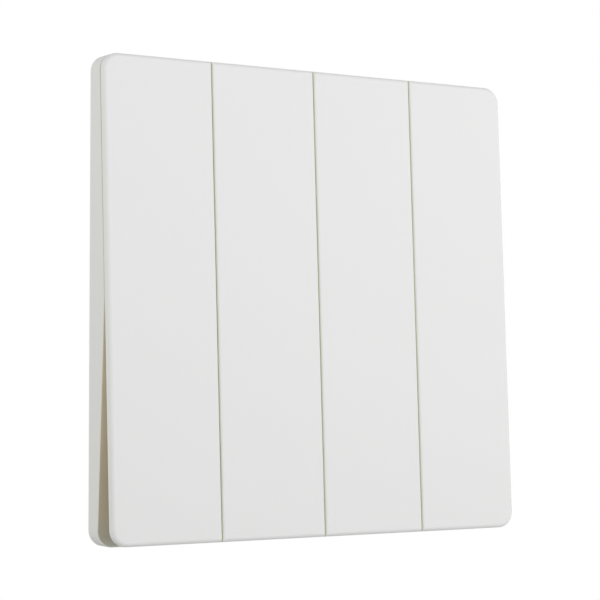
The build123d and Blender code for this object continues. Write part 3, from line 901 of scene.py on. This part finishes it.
@dataclass(frozen=True)
class Screw:
    """Turned and rolled screw: a head with a recess, a threaded shank and a blunt tip.

    The profile is a list of radius and distance below the top, from the rim of the head to the shank.
    The thread runs out over one pitch at the head, and that much faster at the tip. The whole numbers say
    how many rings draw a turn of the thread, and how many points an arm and all the land between arms.
    """

    profile: tuple[tuple[float, float], ...]
    drive: Drive
    arm_width: float
    arm_depth: float
    arm_reach: float
    shank: float
    tip: float
    pitch: float
    thread_depth: float
    tip_run_out: float = 1.5
    turn_rings: int = 12
    arm_points: int = 5
    land_points: int = 64

    def rings(self) -> tuple[np.ndarray, np.ndarray, np.ndarray]:
        """Lists the rings from the middle of the recess over the head to the tip.

        Returns:
            Radius, distance below the top, and whether the recess is open there, for each ring.
        """
        inside = self.arm_width / 2 / math.sin(math.pi / self.drive.value)
        rim = self.profile[0][0]
        reach = min(self.arm_reach, rim)
        top = [(inside, 0.0, 1), (reach, 0.0, 1), (reach, 0.0, 0), (rim, 0.0, 0)]
        if self.arm_reach >= rim:
            top = [(inside, 0.0, 1), (rim, 0.0, 1)]
        still_open = int(self.arm_reach >= rim)
        head = [(radius, drop, still_open) for radius, drop in self.profile[1:]]
        root = self.profile[-1][1]
        count = int((self.tip - root) / self.pitch * self.turn_rings)
        shank = [(self.shank, drop, 0) for drop in np.linspace(root, self.tip, count)]
        table = np.array(top + head + shank)
        return table[:, 0], table[:, 1], table[:, 2] > 0

    def shell(self, place: np.ndarray, axis: np.ndarray, across: np.ndarray) -> Shell:
        """Turns the rings about the axis, sinks the recess and cuts the thread.

        Round a ring the angles follow the arms of the recess, whose half angle is asin of half their
        width over the radius. The thread is a V-shaped wave of the distance along the axis over the
        pitch less the angle over a full turn, and fades out at both ends of the shank.

        Args:
            place: Middle of the head's top.
            axis: Direction out of the head.
            across: Direction of the first arm.

        Returns:
            The screw.
        """
        radius, drop, is_open = self.rings()
        arms = self.drive.value
        half = math.pi / arms
        reach = np.minimum(np.arcsin(np.clip(self.arm_width / 2 / radius, 0, 1)), half)
        widest = int(np.argmax(radius))
        reach[widest:] = reach[widest]
        in_arm = np.linspace(-1, 1, self.arm_points)[None, :] * reach[:, None]
        over = np.linspace(0, 1, self.land_points // arms)[None, :]
        on_land = reach[:, None] + over * 2 * (half - reach)[:, None]
        sector = np.concatenate([in_arm, on_land], 1)
        angle = (sector[:, None] + 2 * half * np.arange(arms)[:, None]).reshape(len(radius), -1)
        sunk = np.tile(np.arange(sector.shape[1]) < in_arm.shape[1], arms)
        depth = np.where(
            sunk & is_open[:, None], np.maximum(drop[:, None], self.arm_depth), drop[:, None]
        )
        root = self.profile[-1][1]
        wave = 2 * np.abs(((-drop[:, None] / self.pitch - angle / (2 * np.pi)) % 1) - 0.5)
        from_end = np.minimum(drop - root, (self.tip - drop) * self.tip_run_out)
        fade = np.clip(from_end / self.pitch, 0, 1)[:, None]
        rings = radius[:, None] - self.thread_depth * np.where(
            drop[:, None] >= root, wave * fade + (1 - fade) * (drop[:, None] > root), 0
        )
        side = np.cross(axis, across)
        turned = (
            place
            + rings[..., None] * (np.cos(angle)[..., None] * across + np.sin(angle)[..., None] * side)
            - depth[..., None] * axis
        )
        floor = turned[:1] + (depth[:1] - self.arm_depth)[..., None] * axis
        middle = np.broadcast_to(place - self.arm_depth * axis, floor.shape)
        end = np.broadcast_to(place - self.tip * axis, floor.shape)
        return Shell.tube(np.concatenate([middle, floor, turned, end])[::-1])


@dataclass
class Fasteners:
    """The four screws that hold the housing and the eight that pinch the wires."""

    housing: Screw = Screw(
        profile=((2.7, 0.0), (2.7, 0.08), (1.35, 1.35)),
        drive=Drive.CROSS,
        arm_width=0.6,
        arm_depth=0.9,
        arm_reach=1.4,
        shank=1.35,
        tip=9.5,
        pitch=1.0,
        thread_depth=0.3,
    )
    pinch: Screw = Screw(
        profile=(
            (2.2, 0.0),
            (2.39, 0.04),
            (2.55, 0.15),
            (2.66, 0.31),
            (2.7, 0.5),
            (2.7, 0.9),
            (2.7, 2.0),
            (1.65, 2.0),
        ),
        drive=Drive.SLOT,
        arm_width=0.8,
        arm_depth=0.9,
        arm_reach=9.0,
        shank=1.65,
        tip=4.7,
        pitch=0.6,
        thread_depth=0.2,
    )

    def build(self) -> None:
        """Puts each screw where its node's box says, as one piece for each kind."""
        low, high = (np.array(corner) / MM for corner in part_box("housing_screws"))
        head = self.housing.profile[0][0]
        places = [
            np.array([x, low[1], z])
            for x in (low[0] + head, high[0] - head)
            for z in (low[2] + head, high[2] - head)
        ]
        room, right = np.array([0.0, -1.0, 0.0]), np.array([1.0, 0.0, 0.0])
        shells = [self.housing.shell(place, room, right) for place in places]
        self.settle("housing_fixing_screws", shells, "housing_screws")
        low, high = (np.array(corner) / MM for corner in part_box("terminal_screws"))
        depth = (low[1] + high[1]) / 2
        shells = [
            self.pinch.shell(np.array([cell(number), depth, top]), np.array([0, 0, up]), right)
            for number in range(1, GANGS + 1)
            for up, top in ((1.0, high[2]), (-1.0, low[2]))
        ]
        self.settle("wire_pinch_screws", shells, "terminal_screws")

    @staticmethod
    def settle(name: str, shells: list[Shell], node: str) -> None:
        """Makes one piece of several screws, in place of a node of the construction.

        Args:
            name: Name of the piece.
            shells: The screws.
            node: Node that they stand for.
        """
        screws = Shell.together(shells).piece(name, ZINC_STEEL)
        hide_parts(node)
        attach(screws, "base")


@dataclass
class Casing:
    """The fixed mouldings and contacts that stay as the construction made them."""

    finishes: dict[str, Finish] = field(
        default_factory=lambda: {
            "front_frame": FRAME_WHITE,
            "housing": HOUSING_GREY,
            "fixed_contacts": CONTACT_SILVER,
        }
    )

    def dress(self) -> None:
        """Gives each fixed node its finish."""
        for node, finish in self.finishes.items():
            dress_node(node, finish)


@dataclass
class Gang:
    """One of the four switches: actuator, plunger, lever, strips and terminals, with key and spring."""

    number: int
    finishes: dict[str, Finish] = field(
        default_factory=lambda: {
            "actuator": ACETAL,
            "plunger": PLUNGER_BLACK,
            "contact_lever": STAMPED_BRASS,
            "moving_contact": CONTACT_SILVER,
            "common_strip": STAMPED_BRASS,
            "line_strip": STAMPED_BRASS,
            "line_terminal": TERMINAL_BRASS,
            "common_terminal": TERMINAL_BRASS,
        }
    )

    def build(self) -> None:
        """Makes the key and the spring."""
        Key(self.number).build()
        CoilSpring(self.number).build()

    def dress(self) -> None:
        """Gives each node of this gang its finish."""
        for piece, finish in self.finishes.items():
            dress_node(f"{piece}_{self.number}", finish)


def dress_node(node: str, finish: Finish) -> None:
    """Puts a finish on every slot of a node of the construction.

    Args:
        node: Name of the node.
        finish: Finish to put on.
    """
    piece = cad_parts[node]
    for slot in piece.material_slots:
        slot.material = finish.material()
    LOG.info("dressed %s in %s", node, finish.name)


# Studio


@dataclass(frozen=True)
class Viewpoint:
    """Camera that stands to the left of the switch and a little below its middle.

    Angles are in degrees and distances in millimetres. The aim is a point on the wall plane.
    """

    focal_mm: float = 116.9
    sensor_mm: float = 36.0
    yaw: float = 31.908
    pitch: float = 1.954
    roll: float = 0.068
    distance_mm: float = 363.0
    aim_right_mm: float = 0.26
    aim_up_mm: float = 0.78
    clip_m: tuple[float, float] = (0.01, 20.0)

    def build(self) -> None:
        """Makes the camera: its axes follow from yaw, pitch and roll, its place from the distance."""
        yaw, pitch, roll = map(math.radians, (self.yaw, self.pitch, self.roll))
        ahead = Vector(
            (
                math.sin(yaw) * math.cos(pitch),
                math.cos(yaw) * math.cos(pitch),
                math.sin(pitch),
            )
        )
        level = Vector((math.cos(yaw), -math.sin(yaw), 0))
        upright = level.cross(ahead)
        right = level * math.cos(roll) + upright * math.sin(roll)
        up = upright * math.cos(roll) - level * math.sin(roll)
        place = right * self.aim_right_mm + up * self.aim_up_mm - ahead * self.distance_mm
        lens = bpy.data.cameras.new("camera")
        lens.lens = self.focal_mm
        lens.sensor_width = self.sensor_mm
        lens.clip_start, lens.clip_end = self.clip_m
        camera = bpy.data.objects.new("camera", lens)
        turn = Matrix((right, up, -ahead)).transposed().to_4x4()
        camera.matrix_world = Matrix.Translation(place * MM) @ turn
        bpy.context.scene.collection.objects.link(camera)
        bpy.context.scene.camera = camera


class Lamp(Enum):
    """Lamps of the studio, each with its place in metres, its size and its level.

    The level is the share of full white that the lamp alone gives a white card that faces it.
    """

    KEY = ((0.36, -0.45, -0.03), 0.34, 0.218)
    FILL = ((-1.5, -1.9, -0.1), 1.5, 0.10)
    BACK = ((0.9, 1.5, 0.15), 1.0, 0.14)

    @property
    def place(self) -> Vector:
        """Where the lamp hangs."""
        return Vector(self.value[0])

    @property
    def size(self) -> float:
        """Diameter of its disc in metres."""
        return self.value[1]

    @property
    def power(self) -> float:
        """Watts for the level: a far disc of P watts gives P / (pi d squared) on a facing card."""
        return self.value[2] * math.pi * math.pi * self.place.length_squared


@dataclass
class Studio:
    """World, lamps and floor around the switch.

    The world is a tent lit through its sides: its level is the ambient value at the horizon and falls
    by a fade, as the square of the height of the direction, towards its top and its bottom. The haze is
    the white over the floor's middle, and its span gives the shares of the radius between which it grows.
    """

    fade_up: float = 0.89
    fade_down: float = 0.75
    ambient: float = 1.04
    floor_z: float = -0.12
    floor_radius: float = 0.4
    floor_points: int = 96
    floor_haze: float = 0.45
    haze_span: tuple[float, float] = (0.45, 0.95)
    floor_colour: str = "#D4D4D2"

    def build(self) -> None:
        """Sets up everything but the camera."""
        self.build_world()
        self.build_lamps()
        self.build_floor()
        bpy.context.scene.view_settings.view_transform = "Standard"

    def build_world(self) -> None:
        """White where the camera, a reflection or clear matter shows it, and softer as light."""
        world = bpy.data.worlds.new("studio")
        world.use_nodes = True
        tree = world.node_tree
        tree.nodes.clear()
        way = add(tree, "TexCoord").outputs["Generated"]
        rise = add(tree, "SeparateXYZ", {"Vector": way}).outputs["Z"]
        square = add(tree, "Math", {0: rise, 1: rise}, operation="MULTIPLY").outputs[0]
        above = add(tree, "Math", {0: rise, 1: 0.0}, operation="GREATER_THAN").outputs[0]
        least = add(
            tree,
            "MapRange",
            {
                "Value": above,
                "To Min": self.ambient * (1 - self.fade_down),
                "To Max": self.ambient * (1 - self.fade_up),
            },
        ).outputs["Result"]
        tent = add(
            tree, "MapRange", {"Value": square, "To Min": self.ambient, "To Max": least}
        ).outputs["Result"]
        strength = add(
            tree, "MapRange", {"Value": self.seen(tree), "To Min": tent, "To Max": 1.0}
        ).outputs["Result"]
        sky = add(tree, "Background", {"Color": (1, 1, 1, 1), "Strength": strength})
        add(tree, "OutputWorld", {"Surface": sky.outputs["Background"]})
        bpy.context.scene.world = world

    @staticmethod
    def seen(tree: bpy.types.NodeTree) -> bpy.types.NodeSocket:
        """Tells rays that show the surroundings from rays that only carry light.

        Args:
            tree: Node tree to add to.

        Returns:
            Socket that is 1 on camera, glossy and transmission rays and 0 on the rest.
        """
        path = add(tree, "LightPath").outputs
        first = add(
            tree,
            "Math",
            {0: path["Is Camera Ray"], 1: path["Is Glossy Ray"]},
            operation="MAXIMUM",
        ).outputs[0]
        return add(
            tree, "Math", {0: first, 1: path["Is Transmission Ray"]}, operation="MAXIMUM"
        ).outputs[0]

    @staticmethod
    def build_lamps() -> None:
        """Hangs each lamp and aims it at the switch."""
        for lamp in Lamp:
            light = bpy.data.lights.new(lamp.name.lower(), "AREA")
            light.shape = "DISK"
            light.size = lamp.size
            light.energy = lamp.power
            holder = bpy.data.objects.new(light.name, light)
            holder.location = lamp.place
            holder.rotation_euler = (-lamp.place).to_track_quat("-Z", "Y").to_euler()
            bpy.context.scene.collection.objects.link(holder)

    def build_floor(self) -> None:
        """Lays a round floor below the switch, whose rim fades into the white around it."""
        turn = np.linspace(0, 2 * np.pi, self.floor_points, endpoint=False)
        ring = np.stack([np.cos(turn), np.sin(turn), 0 * turn], 1) * self.floor_radius
        mesh = bpy.data.meshes.new("floor")
        mesh.from_pydata(
            (ring + [0, 0, self.floor_z]).tolist(), [], [list(range(len(ring)))]
        )
        mesh.materials.append(self.floor_material())
        floor = bpy.data.objects.new("floor", mesh)
        bpy.context.scene.collection.objects.link(floor)

    def floor_material(self) -> bpy.types.Material:
        """Makes the pale floor: matt, with a white haze that grows towards its rim on rays that see it.

        Returns:
            The material.
        """
        made = bpy.data.materials.new("floor")
        made.use_nodes = True
        tree = made.node_tree
        tree.nodes.clear()
        place = add(tree, "TexCoord").outputs["Object"]
        flat = add(
            tree, "VectorMath", {0: place, 1: (1, 1, 0)}, operation="MULTIPLY"
        ).outputs["Vector"]
        radius = add(tree, "VectorMath", {0: flat}, operation="LENGTH").outputs["Value"]
        rim = add(
            tree,
            "MapRange",
            {
                "Value": radius,
                "From Min": self.haze_span[0] * self.floor_radius,
                "From Max": self.haze_span[1] * self.floor_radius,
                "To Min": self.floor_haze,
            },
            interpolation_type="SMOOTHSTEP",
        ).outputs["Result"]
        matt = add(tree, "BsdfDiffuse", {"Color": linear(self.floor_colour)})
        glow = add(tree, "Emission", {"Strength": 1.0})
        share = add(
            tree, "Math", {0: rim, 1: self.seen(tree)}, operation="MULTIPLY"
        ).outputs[0]
        both = add(
            tree,
            "MixShader",
            {0: share, 1: matt.outputs["BSDF"], 2: glow.outputs["Emission"]},
        )
        add(tree, "OutputMaterial", {"Surface": both.outputs["Shader"]})
        return made


def main() -> None:
    """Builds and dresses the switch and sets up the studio."""
    logging.basicConfig(level=logging.INFO, format="%(name)s: %(message)s")
    Casing().dress()
    Fasteners().build()
    for number in range(1, GANGS + 1):
        gang = Gang(number)
        gang.build()
        gang.dress()
    Studio().build()
    Viewpoint().build()


if __name__ == "__main__":
    main()
